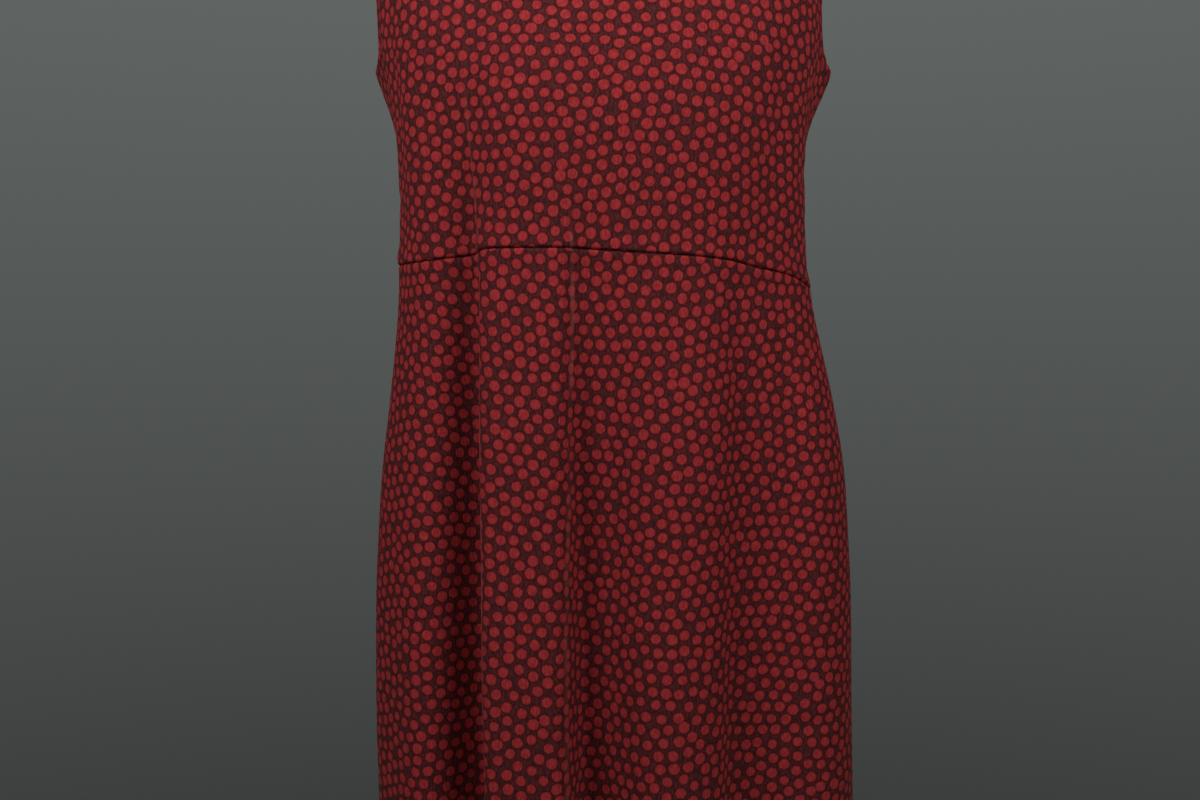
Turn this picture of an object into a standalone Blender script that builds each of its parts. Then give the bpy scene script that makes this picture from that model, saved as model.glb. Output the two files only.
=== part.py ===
"""Tank dress, worn and hollow, in metres with +Z up and its front facing -Y.

Four cut pieces of cloth make it: a front and a back bodice that meet on the shoulders and down the
sides, and a front and a back skirt that hang from an arched waist seam. The origin is the point
midway between the shoulders, where the wearer holds the dress up.

One formula gives the middle of the cloth at any turn and height. A turn is an angle round the dress,
in degrees from the front centre line: +90 is the side seam at +X, 180 is the middle of the back.
"""

from collections import namedtuple

import bpy
import numpy as np

# Cloth and seams
CLOTH = 0.0015
SEAM_GAP = 0.0003
SEAM_STEP = 0.0005
SEAM_STEP_HEIGHT = 0.010

# Heights below the shoulder points
ARMHOLE_BOTTOM = -0.205
WAIST = -0.352
HEM = -0.950

# Shoulders, neck and armholes
NECK_HALF_WIDTH = 0.095
FRONT_NECK_DROP = 0.098
BACK_NECK_DROP = 0.030
SHOULDER_TIP = 0.170
SHOULDER_SLOPE = 0.38
SHOULDER_ROUND = 0.070
NECK_SHARE = 0.56

# Rows and columns of each panel
BODICE_LOW_ROWS = 7
BODICE_TOP_ROWS = 12
ROW_GRADING = 1.7
SKIRT_ROWS = 18
FRONT_COLUMNS = 62
BACK_COLUMNS = 44
CLOSE_REACH = 20.0
CLOSE_RISE = 0.030
USUAL_RADIUS = 0.135

# Outline from the front: half widths to -X and +X at each height, without the armholes' wings. The
# skirt hangs further out to +X.
Width = namedtuple("Width", "z left right")
WIDTHS = (
    Width(0.020, 0.178, 0.175),
    Width(-0.120, 0.171, 0.165),
    Width(-0.165, 0.169, 0.162),
    Width(-0.205, 0.1635, 0.160),
    Width(-0.235, 0.155, 0.152),
    Width(-0.265, 0.1535, 0.1505),
    Width(-0.307, 0.153, 0.152),
    Width(-0.360, 0.154, 0.1535),
    Width(-0.401, 0.1565, 0.163),
    Width(-0.448, 0.163, 0.175),
    Width(-0.510, 0.1715, 0.187),
    Width(-0.600, 0.177, 0.1935),
    Width(-0.700, 0.1785, 0.1955),
    Width(-0.780, 0.176, 0.198),
    Width(-0.960, 0.178, 0.201),
)

# Outline from the side: depths to the front and the back at each height, under the hanging folds,
# and how square the ring is there, where 2 is an ellipse.
Depth = namedtuple("Depth", "z front back square")
DEPTHS = (
    Depth(0.020, 0.062, 0.070, 2.40),
    Depth(-0.060, 0.083, 0.091, 2.50),
    Depth(-0.120, 0.105, 0.105, 2.65),
    Depth(-0.180, 0.117, 0.109, 2.80),
    Depth(-0.240, 0.117, 0.107, 2.90),
    Depth(-0.300, 0.106, 0.101, 2.90),
    Depth(-0.360, 0.096, 0.098, 2.85),
    Depth(-0.430, 0.094, 0.107, 2.75),
    Depth(-0.510, 0.094, 0.118, 2.70),
    Depth(-0.600, 0.095, 0.119, 2.70),
    Depth(-0.760, 0.097, 0.117, 2.70),
    Depth(-0.960, 0.099, 0.118, 2.70),
)

# Where the armhole edge lies, as a turn to each side, by the share of the armhole's height above
# its lowest point. The first stretch leaves that point level, as a round armhole does.
Edge = namedtuple("Edge", "rise turn")
ARMHOLE = (
    Edge(0.000, 90.0),
    Edge(0.004, 87.2),
    Edge(0.022, 84.0),
    Edge(0.070, 80.5),
    Edge(0.140, 78.0),
    Edge(0.230, 75.8),
    Edge(0.350, 73.8),
    Edge(0.500, 72.3),
    Edge(0.720, 73.0),
    Edge(1.000, 77.0),
)

# Waist seam: its height at each turn. It rises over the front and hangs lower at +X.
Seam = namedtuple("Seam", "turn z")
WAIST_SEAM = (
    Seam(-180, -0.3610),
    Seam(-120, -0.3570),
    Seam(-90, -0.3535),
    Seam(-60, -0.3515),
    Seam(-46, -0.3464),
    Seam(-39, -0.3432),
    Seam(-12, -0.3432),
    Seam(33, -0.3486),
    Seam(44, -0.3512),
    Seam(54, -0.3565),
    Seam(63, -0.3598),
    Seam(74, -0.3674),
    Seam(90, -0.3735),
    Seam(130, -0.3710),
    Seam(180, -0.3610),
)

# One row for each of the largest folds: its heights from the top down, and at each height its turn
# and how far it stands out, or in where it is below nought. It reaches so far before and after that
# turn, and each edge has a crispness: 2 is a soft bell, and 8 a flat top with a steep side.
Fold = namedtuple("Fold", "name heights turns rises before after crisp_before crisp_after")
FOLDS = (
    Fold("front fullness", (-0.150, -0.200, -0.250, -0.300, -0.335, -0.380, -0.560),
         (3.6, 3.6, 3.6, 3.9, 1.1, -1.6, -2.0), (0, 0.006, 0.011, 0.0135, 0.015, 0.014, 0),
         0.097, 0.100, 9, 3),
    Fold("front left hanging fold", (-0.330, -0.400, -0.500, -0.650, -0.740, -0.960),
         (-28, -29, -29.4, -28.2, -26.9, -26.5), (0, 0.008, 0.018, 0.028, 0.030, 0.033),
         0.031, 0.0265, 9, 7),
    Fold("front right hanging fold", (-0.330, -0.400, -0.500, -0.650, -0.960),
         (30, 28, 27, 25.5, 25), (0, 0.007, 0.018, 0.027, 0.032), 0.031, 0.037, 3.5, 2.5),
    Fold("front middle hollow", (-0.315, -0.365, -0.430, -0.520, -0.650, -0.740, -0.960),
         (-9.2, -9.4, -9.7, -10, -9, -7.9, -7.6), (0, -0.006, -0.007, -0.009, -0.010, -0.010, -0.010),
         0.007, 0.018, 3, 2),
    Fold("left hollow", (-0.220, -0.330, -0.400, -0.450, -0.650, -0.750, -0.960),
         (-45, -46.5, -47.5, -48.5, -48, -47, -46.5), (0, -0.007, -0.014, -0.020, -0.026, -0.027, -0.028),
         0.017, 0.008, 2, 4),
    Fold("right hollow", (-0.400, -0.480, -0.600, -0.960),
         (52, 52, 51, 50), (0, -0.004, -0.009, -0.011), 0.020, 0.030, 2, 2),
    Fold("right hip", (-0.400, -0.500, -0.650, -0.960),
         (68, 68, 68, 67), (0, 0.005, 0.006, 0.009), 0.020, 0.022, 2, 2),
    Fold("left side corner", (-0.200, -0.260, -0.400, -0.650, -0.960),
         (-60, -59, -58, -57, -57), (0, 0.004, 0.005, 0.011, 0.013), 0.026, 0.014, 2, 2),
    Fold("right side hanging fold", (-0.440, -0.550, -0.700, -0.960),
         (100, 101, 102, 103), (0, 0.004, 0.009, 0.012), 0.020, 0.024, 2, 3),
    Fold("back right hanging fold", (-0.340, -0.430, -0.550, -0.700, -0.960),
         (136, 136, 135, 134, 133), (0, 0.006, 0.014, 0.020, 0.024), 0.026, 0.030, 3, 5),
    Fold("back middle hanging fold", (-0.360, -0.450, -0.550, -0.700, -0.960),
         (177, 177, 178, 179, 180), (0, 0.005, 0.012, 0.018, 0.023), 0.030, 0.034, 4, 3),
    Fold("back left hanging fold", (-0.350, -0.440, -0.550, -0.700, -0.960),
         (-137, -137, -136, -136, -135), (0, 0.006, 0.015, 0.021, 0.025), 0.029, 0.024, 6, 3),
    Fold("left side hanging fold", (-0.460, -0.580, -0.720, -0.960),
         (-101, -101, -102, -103), (0, 0.004, 0.008, 0.011), 0.022, 0.020, 2, 2),
    Fold("back fullness", (-0.180, -0.300, -0.380, -0.500),
         (180, 180, 180, 180), (0, 0.009, 0.008, 0), 0.085, 0.080, 3, 3),
    Fold("left armhole wing", (-0.120, -0.165, -0.205, -0.235, -0.270),
         (-90, -90, -90, -90, -90), (0, 0.003, 0.015, 0.004, 0), 0.024, 0.024, 2, 2),
    Fold("right armhole wing", (-0.120, -0.165, -0.205, -0.235, -0.270),
         (90, 90, 90, 90, 90), (0, 0.003, 0.023, 0.005, 0), 0.024, 0.024, 2, 2),
)

# Fabric colour between the ground and its dots, seen from far off
CLOTH_COLOUR = (0.125, 0.018, 0.019, 1.0)
CLOTH_ROUGHNESS = 0.9

FRONT, BACK = 0, 180
SLOPE_STEP = 2e-5
ROUNDING = 0.012
SEAM_ROUNDING = 1.5
FAR = 3.0


def smooth(at, places, values, rounding=ROUNDING):
    """Straight lines from value to value, level beyond both ends, with each corner rounded: a change
    of slope at a place adds change * rounding * log(1 + exp(past / rounding))."""
    order = np.argsort(places)
    places, values = np.array(places, float)[order], np.array(values, float)[order]
    slopes = np.concatenate([[0], np.diff(values) / np.diff(places), [0]])
    result = np.full_like(np.asarray(at, float), values[0])
    for place, change in zip(places, np.diff(slopes)):
        result = result + change * rounding * np.logaddexp(0, (at - place) / rounding)
    return result


def column_of(table, name):
    return [getattr(row, name) for row in table]


def level(z, table, name):
    """One column of a table of heights, read at any height."""
    return smooth(z, column_of(table, "z"), column_of(table, name))


def ring(turn, z):
    """Radius, half width and depth of the smooth ring: (sin/half)^n + (cos/depth)^n = radius^-n."""
    left, right = (level(z, WIDTHS, name) for name in ("left", "right"))
    front, back, square = (level(z, DEPTHS, name) for name in ("front", "back", "square"))
    sine, cosine = np.sin(np.radians(turn)), np.cos(np.radians(turn))
    half = np.where(sine > 0, right, left)
    depth = np.where(cosine > 0, front, back)
    radius = ((np.abs(sine) / half) ** square + (np.abs(cosine) / depth) ** square) ** (-1 / square)
    return radius, half, depth


def fold_push(turn, z, radius):
    """How far the folds move the cloth out: each is a bump across its path, exp(-(away/reach)^crisp),
    with its own reach and crispness on each side, whose path and height follow its row."""
    push = np.zeros_like(radius)
    for fold in FOLDS:
        path = smooth(z, fold.heights, fold.turns)
        rise = smooth(z, fold.heights, fold.rises)
        away = np.radians((turn - path + 180) % 360 - 180) * radius
        reach = np.where(away < 0, fold.before, fold.after)
        crisp = np.where(away < 0, fold.crisp_before, fold.crisp_after)
        push += rise * np.exp(-np.minimum(np.abs(away / reach), FAR) ** crisp)
    return push


def shoulder_height(x):
    """Height of the shoulder line: level across the neck, then sloping down to the tip."""
    return -SHOULDER_SLOPE * np.maximum(np.abs(x) - NECK_HALF_WIDTH, 0)


def form(turn, z):
    """The middle of the cloth: the ring, moved along its own outward direction by the folds, and
    closed over the shoulders by a quarter of an ellipse."""
    turn, z = np.broadcast_arrays(np.asarray(turn, float), np.asarray(z, float))
    radius, half, depth = ring(turn, z)
    sine, cosine = np.sin(np.radians(turn)), np.cos(np.radians(turn))
    out_x, out_y = sine / half**2, -cosine / depth**2
    push = fold_push(turn, z, radius) / np.hypot(out_x, out_y)
    x = radius * sine + push * out_x
    y = -radius * cosine + push * out_y
    below = np.clip((shoulder_height(x) - z) / SHOULDER_ROUND, 0, 1)
    return np.stack([x, y * np.sqrt(1 - (1 - below) ** 2), z], axis=-1)


def outward(turn, z):
    """The cloth's unit normal: its slope round the dress crossed with its slope up the dress."""
    here = form(turn, z)
    around = form(turn + SLOPE_STEP, z) - form(turn - SLOPE_STEP, z)
    up = here - form(turn, z - SLOPE_STEP)
    normal = np.cross(around, up)
    return normal / np.linalg.norm(normal, axis=-1, keepdims=True)


def side_of(middle):
    """Columns run from -X to +X, which is with the turn on the front and against it on the back."""
    return 1 if middle == FRONT else -1


def waist_height(turn):
    """The height of the waist seam at any turn."""
    turn = (turn + 180) % 360 - 180
    return smooth(turn, column_of(WAIST_SEAM, "turn"), column_of(WAIST_SEAM, "z"), SEAM_ROUNDING)


def turn_at(x, z, middle):
    """The turn, from the middle of its panel, at which the smooth ring at this height is x wide."""
    left, right, square = level(z, WIDTHS, "left"), level(z, WIDTHS, "right"), level(z, DEPTHS, "square")
    half = np.where(x < 0, left, right)
    depth = level(z, DEPTHS, "front" if middle == FRONT else "back")
    y = depth * (1 - np.minimum(np.abs(x) / half, 1) ** square) ** (1 / square)
    return np.degrees(np.arctan2(x, y))


def panel_columns(count, middle, z):
    """Shares of a quarter turn, from -1 to 1, at one height: closer together where the edge of a
    fold crosses the panel there."""
    fine = np.linspace(-1, 1, 1441)
    density = np.ones_like(fine)
    for fold in FOLDS:
        path = smooth(z, fold.heights, fold.turns)
        strength = abs(smooth(z, fold.heights, fold.rises)) / CLOSE_RISE
        edges = ((-fold.before, fold.crisp_before), (fold.after, fold.crisp_after))
        for reach, crisp in edges:
            edge = path + np.degrees(reach / USUAL_RADIUS)
            away = (middle + side_of(middle) * 90 * fine - edge + 180) % 360 - 180
            spread = CLOSE_REACH / crisp
            density += strength * crisp * np.exp(-((away / spread) ** 2))
    place = np.concatenate([[0], np.cumsum((density[1:] + density[:-1]) / 2)])
    return np.interp(np.linspace(0, place[-1], count + 1), place, fine)


def bodice_grid(middle, count):
    """Turns and heights of a bodice panel, row by row from the waist seam up. Below the armhole a
    row runs from seam to seam, and rows come closer together. Above it, rows draw in to the armhole
    edge and bend to end on the shoulder line and the neck curve."""
    low = 1 - np.linspace(1, 0, BODICE_LOW_ROWS + 1)[:, None] ** ROW_GRADING
    levels = WAIST + (ARMHOLE_BOTTOM - WAIST) * low[:, 0]
    low_shares = np.array([panel_columns(count, middle, z) for z in levels])
    waist = waist_height(middle + side_of(middle) * 90 * low_shares)
    low_heights = waist + (ARMHOLE_BOTTOM - waist) * low

    share = low_shares[-1]
    drop = FRONT_NECK_DROP if middle == FRONT else BACK_NECK_DROP
    over_neck = np.radians(90 * np.clip(share / NECK_SHARE, -1, 1))
    along = np.clip((np.abs(share) - NECK_SHARE) / (1 - NECK_SHARE), 0, 1)
    top_x = (NECK_HALF_WIDTH * np.sin(over_neck)
             + np.sign(share) * along * (SHOULDER_TIP - NECK_HALF_WIDTH))
    top_z = shoulder_height(top_x) - np.where(np.abs(share) < NECK_SHARE, drop * np.cos(over_neck), 0)
    top_share = turn_at(top_x, top_z, middle) / ARMHOLE[-1].turn

    up = np.linspace(0, 1, BODICE_TOP_ROWS + 1)[1:, None]
    rise = (1 - np.cos(np.pi * up)) / 2
    bend = up**2 * (3 - 2 * up)
    edge = np.interp(rise, column_of(ARMHOLE, "rise"), column_of(ARMHOLE, "turn")) / 90
    top_heights = ARMHOLE_BOTTOM + (top_z - ARMHOLE_BOTTOM) * rise
    drawn_in = share * (1 - (1 - edge) * np.abs(share))
    top_shares = drawn_in * (1 - bend) + edge * top_share * bend

    shares = np.concatenate([low_shares, top_shares])
    heights = np.concatenate([low_heights, top_heights])
    return middle + side_of(middle) * 90 * shares, heights


def skirt_grid(middle, count):
    """Turns and heights of a skirt panel, row by row from the hem up to the waist seam."""
    up = np.linspace(0, 1, SKIRT_ROWS + 1)[:, None]
    levels = HEM + (WAIST - HEM) * up[:, 0]
    shares = np.array([panel_columns(count, middle, z) for z in levels])
    turns = middle + side_of(middle) * 90 * shares
    return turns, HEM + (waist_height(turns) - HEM) * up


def draw_back(grid, edge, where):
    """Moves part of the first or last row of a grid half a seam gap towards the next row."""
    step = grid[1 if edge == 0 else -2, where] - grid[edge, where]
    grid[edge, where] += step / np.linalg.norm(step, axis=-1, keepdims=True) * SEAM_GAP / 2


def cloth_wall(name, points, normals, material):
    """A closed wall of cloth from a grid of middle points: an outer and an inner sheet half the
    cloth's thickness away, joined by a rim all round."""
    rows, columns = points.shape[:2]
    outer = np.arange(rows * columns).reshape(rows, columns)
    inner = outer + outer.size
    low, high = outer[:-1], outer[1:]
    quads = [np.stack([low[:, :-1], low[:, 1:], high[:, 1:], high[:, :-1]], axis=-1).reshape(-1, 4)]
    quads.append(quads[0][:, [0, 3, 2, 1]] + outer.size)
    rim = np.concatenate([outer[0], outer[1:, -1], outer[-1, -2::-1], outer[-2:0:-1, 0]])
    after = np.roll(rim, -1)
    quads.append(np.stack([rim, rim + outer.size, after + outer.size, after], axis=-1))
    quads = np.concatenate(quads)
    corners = np.concatenate([points + normals * CLOTH / 2, points - normals * CLOTH / 2])
    triangles = np.concatenate([quads[:, [0, 1, 2]], quads[:, [0, 2, 3]]])
    mesh = bpy.data.meshes.new(name)
    mesh.from_pydata(corners.reshape(-1, 3).tolist(), [], triangles.tolist())
    mesh.materials.append(material)
    mesh.shade_smooth()
    mesh.set_sharp_from_angle(angle=np.radians(50))
    piece = bpy.data.objects.new(name, mesh)
    bpy.context.collection.objects.link(piece)
    return piece


def bodice(name, middle, count, material):
    """A bodice panel: drawn back at the waist, side and shoulder seams, with its lowest rows a
    little proud, where the seam allowance is pressed up behind them."""
    turns, heights = bodice_grid(middle, count)
    normals = outward(turns, heights)
    points = form(turns, heights)
    above_seam = heights - waist_height(turns)
    points += normals * (SEAM_STEP * np.exp(-((above_seam / SEAM_STEP_HEIGHT) ** 2)))[..., None]
    draw_back(points, 0, slice(None))
    on_shoulder = np.abs(points[-1, :, 1]) < CLOTH
    draw_back(points, -1, on_shoulder)
    for side in (0, -1):
        draw_back(points.swapaxes(0, 1), side, slice(BODICE_LOW_ROWS + 1))
    return place_panel(name, middle, points, normals, material)


def skirt(name, middle, count, material):
    """A skirt panel: drawn back at the waist seam and both side seams, with a plain lower edge."""
    turns, heights = skirt_grid(middle, count)
    normals = outward(turns, heights)
    points = form(turns, heights)
    draw_back(points, -1, slice(None))
    for side in (0, -1):
        draw_back(points.swapaxes(0, 1), side, slice(None))
    return place_panel(name, middle, points, normals, material)


def place_panel(name, middle, points, normals, material):
    """Columns run from -X to +X, so a back panel is turned round to face outwards."""
    if middle == BACK:
        points, normals = points[:, ::-1], normals[:, ::-1]
    return cloth_wall(name, points, normals, material)


def printed_jersey():
    """Brushed cotton jersey: matt, and dark red from far off."""
    material = bpy.data.materials.new("printed cotton jersey")
    material.use_nodes = True
    shader = material.node_tree.nodes["Principled BSDF"]
    shader.inputs["Base Color"].default_value = CLOTH_COLOUR
    shader.inputs["Roughness"].default_value = CLOTH_ROUGHNESS
    shader.inputs["Metallic"].default_value = 0.0
    return material


def clear_scene():
    for item in list(bpy.data.objects):
        bpy.data.objects.remove(item, do_unlink=True)


def main():
    clear_scene()
    jersey = printed_jersey()
    bodice("bodice_front", FRONT, FRONT_COLUMNS, jersey)
    bodice("bodice_back", BACK, BACK_COLUMNS, jersey)
    skirt("skirt_front", FRONT, FRONT_COLUMNS, jersey)
    skirt("skirt_back", BACK, BACK_COLUMNS, jersey)


main()
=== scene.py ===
"""Tank dress in dotted jersey, worn and hollow: its four cut pieces as thin cloth on the frame's
solids, in metres with +Z up and the front facing -Y.

One formula gives the middle of the cloth at any turn and height. A turn is an angle round the dress,
in degrees from the front centre line: +90 is the side seam at +X, 180 is the middle of the back.
"""

from collections import namedtuple

import bpy
import numpy as np
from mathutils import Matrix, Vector


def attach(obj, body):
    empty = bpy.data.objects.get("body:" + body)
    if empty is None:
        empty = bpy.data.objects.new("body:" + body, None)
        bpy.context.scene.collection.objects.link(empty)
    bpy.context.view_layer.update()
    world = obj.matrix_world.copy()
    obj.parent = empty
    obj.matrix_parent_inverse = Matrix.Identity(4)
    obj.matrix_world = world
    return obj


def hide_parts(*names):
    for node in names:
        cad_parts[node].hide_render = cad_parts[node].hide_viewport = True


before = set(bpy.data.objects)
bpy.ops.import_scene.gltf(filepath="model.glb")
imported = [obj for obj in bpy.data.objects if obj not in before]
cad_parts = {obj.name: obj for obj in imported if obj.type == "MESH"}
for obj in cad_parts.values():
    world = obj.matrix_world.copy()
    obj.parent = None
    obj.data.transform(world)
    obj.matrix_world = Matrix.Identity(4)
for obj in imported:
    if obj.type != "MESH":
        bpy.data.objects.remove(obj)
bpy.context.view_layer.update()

# Turns of the panels' middles, and a quarter turn from there to either side seam
FRONT = 0
BACK = 180
QUARTER = 90

# Cloth: the shell's thickness, and its edges at a seam, which lie a gap apart, roll in, and swell a
# little over their allowance. At the waist the bodice also stands a step proud of the skirt.
CLOTH = 0.0011
SEAM_GAP = 0.00004
SEAM_ROLL = 0.0010
SEAM_ROLL_REACH = 0.0009
SEAM_SWELL = 0.0006
SEAM_SWELL_REACH = 0.0060
SEAM_STEP = 0.0006
SEAM_STEP_HEIGHT = 0.009

# Heights below the shoulder points
ARMHOLE_BOTTOM = -0.205
WAIST = -0.352
HEM = -0.950

# Shoulders and neck: the neck's width and drops, the shoulders' tip and slope, the height over which
# the cloth closes over them, and the share of a bodice's columns that end on the neck curve
NECK_HALF_WIDTH = 0.095
FRONT_NECK_DROP = 0.098
BACK_NECK_DROP = 0.030
SHOULDER_TIP = 0.170
SHOULDER_SLOPE = 0.38
SHOULDER_ROUND = 0.070
NECK_SHARE = 0.56

# Rows and columns of each panel
BODICE_LOW_ROWS = 56
BODICE_TOP_ROWS = 62
SKIRT_ROWS = 186
BODICE_COLUMNS = 168
SKIRT_COLUMNS = 200

# How they come closer together. Columns do so within some degrees of a fold's edge, more so the
# further the fold stands out, and near a side seam, and rows near the waist seam. A spacing is
# worked out at so many samples, on a dress of the usual radius.
FOLD_SPREAD = 20.0
FOLD_RISE = 0.060
USUAL_RADIUS = 0.135
SIDE_REACH = 0.006
SIDE_DENSITY = 5.0
ROW_REACH = 0.02
ROW_DENSITY = 4.0
COLUMN_SAMPLES = 1441
ROW_SAMPLES = 2001

# Outline from the front: half widths to -X and +X at each height, without the armholes' wings. The
# skirt hangs further out to +X.
Width = namedtuple("Width", "z left right")
WIDTHS = (
    Width(0.020, 0.178, 0.175),
    Width(-0.120, 0.171, 0.165),
    Width(-0.165, 0.169, 0.162),
    Width(-0.205, 0.1635, 0.160),
    Width(-0.235, 0.155, 0.152),
    Width(-0.265, 0.1535, 0.1505),
    Width(-0.307, 0.153, 0.152),
    Width(-0.360, 0.154, 0.1535),
    Width(-0.401, 0.1565, 0.163),
    Width(-0.448, 0.163, 0.175),
    Width(-0.510, 0.1715, 0.187),
    Width(-0.600, 0.177, 0.1935),
    Width(-0.700, 0.1785, 0.1955),
    Width(-0.780, 0.176, 0.198),
    Width(-0.960, 0.178, 0.201),
)

# Outline from the side: depths to the front and the back at each height, under the hanging folds,
# and how square the ring is there, where 2 is an ellipse.
Depth = namedtuple("Depth", "z front back square")
DEPTHS = (
    Depth(0.020, 0.062, 0.070, 2.40),
    Depth(-0.060, 0.083, 0.091, 2.50),
    Depth(-0.120, 0.105, 0.105, 2.65),
    Depth(-0.180, 0.117, 0.109, 2.80),
    Depth(-0.240, 0.117, 0.107, 2.90),
    Depth(-0.300, 0.106, 0.101, 2.90),
    Depth(-0.360, 0.096, 0.098, 2.85),
    Depth(-0.430, 0.094, 0.107, 2.75),
    Depth(-0.510, 0.094, 0.118, 2.70),
    Depth(-0.600, 0.095, 0.119, 2.70),
    Depth(-0.760, 0.097, 0.117, 2.70),
    Depth(-0.960, 0.099, 0.118, 2.70),
)

# Where the armhole edge lies, as a turn to each side, by the share of the armhole's height above
# its lowest point. The first stretch leaves that point level, as a round armhole does.
Edge = namedtuple("Edge", "rise turn")
ARMHOLE = (
    Edge(0.000, 90.0),
    Edge(0.004, 87.2),
    Edge(0.022, 84.0),
    Edge(0.070, 80.5),
    Edge(0.140, 78.0),
    Edge(0.230, 75.8),
    Edge(0.350, 73.8),
    Edge(0.500, 72.3),
    Edge(0.720, 73.0),
    Edge(1.000, 77.0),
)

# Waist seam: its height at each turn. It rises over the front and hangs lower at +X.
Seam = namedtuple("Seam", "turn z")
WAIST_SEAM = (
    Seam(-180, -0.3610),
    Seam(-120, -0.3570),
    Seam(-90, -0.3535),
    Seam(-60, -0.3515),
    Seam(-46, -0.3464),
    Seam(-39, -0.3432),
    Seam(-12, -0.3432),
    Seam(33, -0.3486),
    Seam(44, -0.3512),
    Seam(54, -0.3565),
    Seam(63, -0.3598),
    Seam(74, -0.3674),
    Seam(90, -0.3735),
    Seam(130, -0.3710),
    Seam(180, -0.3610),
)

# One row for each of the largest folds: its heights from the top down, and at each height its turn
# and how far it stands out, or in where it is below nought. It reaches so far before and after that
# turn, and each edge has a crispness: 2 is a soft bell, and 8 a flat top with a steep side.
Fold = namedtuple("Fold", "name heights turns rises before after crisp_before crisp_after")
FOLDS = (
    Fold("front fullness", (-0.150, -0.200, -0.250, -0.300, -0.335, -0.380, -0.560),
         (3.6, 3.6, 3.6, 3.9, 1.1, -1.6, -2.0), (0, 0.006, 0.011, 0.0135, 0.015, 0.014, 0),
         0.097, 0.100, 9, 3),
    Fold("front left hanging fold", (-0.330, -0.400, -0.500, -0.650, -0.740, -0.960),
         (-28, -29, -29.4, -28.2, -26.9, -26.5), (0, 0.008, 0.018, 0.028, 0.030, 0.033),
         0.031, 0.0265, 9, 7),
    Fold("front right hanging fold", (-0.330, -0.400, -0.500, -0.650, -0.960),
         (30, 28, 27, 25.5, 25), (0, 0.007, 0.018, 0.027, 0.032), 0.031, 0.037, 3.5, 2.5),
    Fold("front middle hollow", (-0.315, -0.365, -0.430, -0.520, -0.650, -0.740, -0.960),
         (-9.2, -9.4, -9.7, -10, -9, -7.9, -7.6), (0, -0.006, -0.007, -0.009, -0.010, -0.010, -0.010),
         0.007, 0.018, 3, 2),
    Fold("left hollow", (-0.220, -0.330, -0.400, -0.450, -0.650, -0.750, -0.960),
         (-45, -46.5, -47.5, -48.5, -48, -47, -46.5), (0, -0.007, -0.014, -0.020, -0.026, -0.027, -0.028),
         0.017, 0.008, 2, 4),
    Fold("right hollow", (-0.400, -0.480, -0.600, -0.960),
         (52, 52, 51, 50), (0, -0.004, -0.009, -0.011), 0.020, 0.030, 2, 2),
    Fold("right hip", (-0.400, -0.500, -0.650, -0.960),
         (68, 68, 68, 67), (0, 0.005, 0.006, 0.009), 0.020, 0.022, 2, 2),
    Fold("left side corner", (-0.200, -0.260, -0.400, -0.650, -0.960),
         (-60, -59, -58, -57, -57), (0, 0.004, 0.005, 0.011, 0.013), 0.026, 0.014, 2, 2),
    Fold("right side hanging fold", (-0.440, -0.550, -0.700, -0.960),
         (100, 101, 102, 103), (0, 0.004, 0.009, 0.012), 0.020, 0.024, 2, 3),
    Fold("back right hanging fold", (-0.340, -0.430, -0.550, -0.700, -0.960),
         (136, 136, 135, 134, 133), (0, 0.006, 0.014, 0.020, 0.024), 0.026, 0.030, 3, 5),
    Fold("back middle hanging fold", (-0.360, -0.450, -0.550, -0.700, -0.960),
         (177, 177, 178, 179, 180), (0, 0.005, 0.012, 0.018, 0.023), 0.030, 0.034, 4, 3),
    Fold("back left hanging fold", (-0.350, -0.440, -0.550, -0.700, -0.960),
         (-137, -137, -136, -136, -135), (0, 0.006, 0.015, 0.021, 0.025), 0.029, 0.024, 6, 3),
    Fold("left side hanging fold", (-0.460, -0.580, -0.720, -0.960),
         (-101, -101, -102, -103), (0, 0.004, 0.008, 0.011), 0.022, 0.020, 2, 2),
    Fold("back fullness", (-0.180, -0.300, -0.380, -0.500),
         (180, 180, 180, 180), (0, 0.009, 0.008, 0), 0.085, 0.080, 3, 3),
    Fold("left armhole wing", (-0.120, -0.165, -0.205, -0.235, -0.270),
         (-90, -90, -90, -90, -90), (0, 0.003, 0.015, 0.004, 0), 0.024, 0.024, 2, 2),
    Fold("right armhole wing", (-0.120, -0.165, -0.205, -0.235, -0.270),
         (90, 90, 90, 90, 90), (0, 0.003, 0.023, 0.005, 0), 0.024, 0.024, 2, 2),
)

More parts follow.
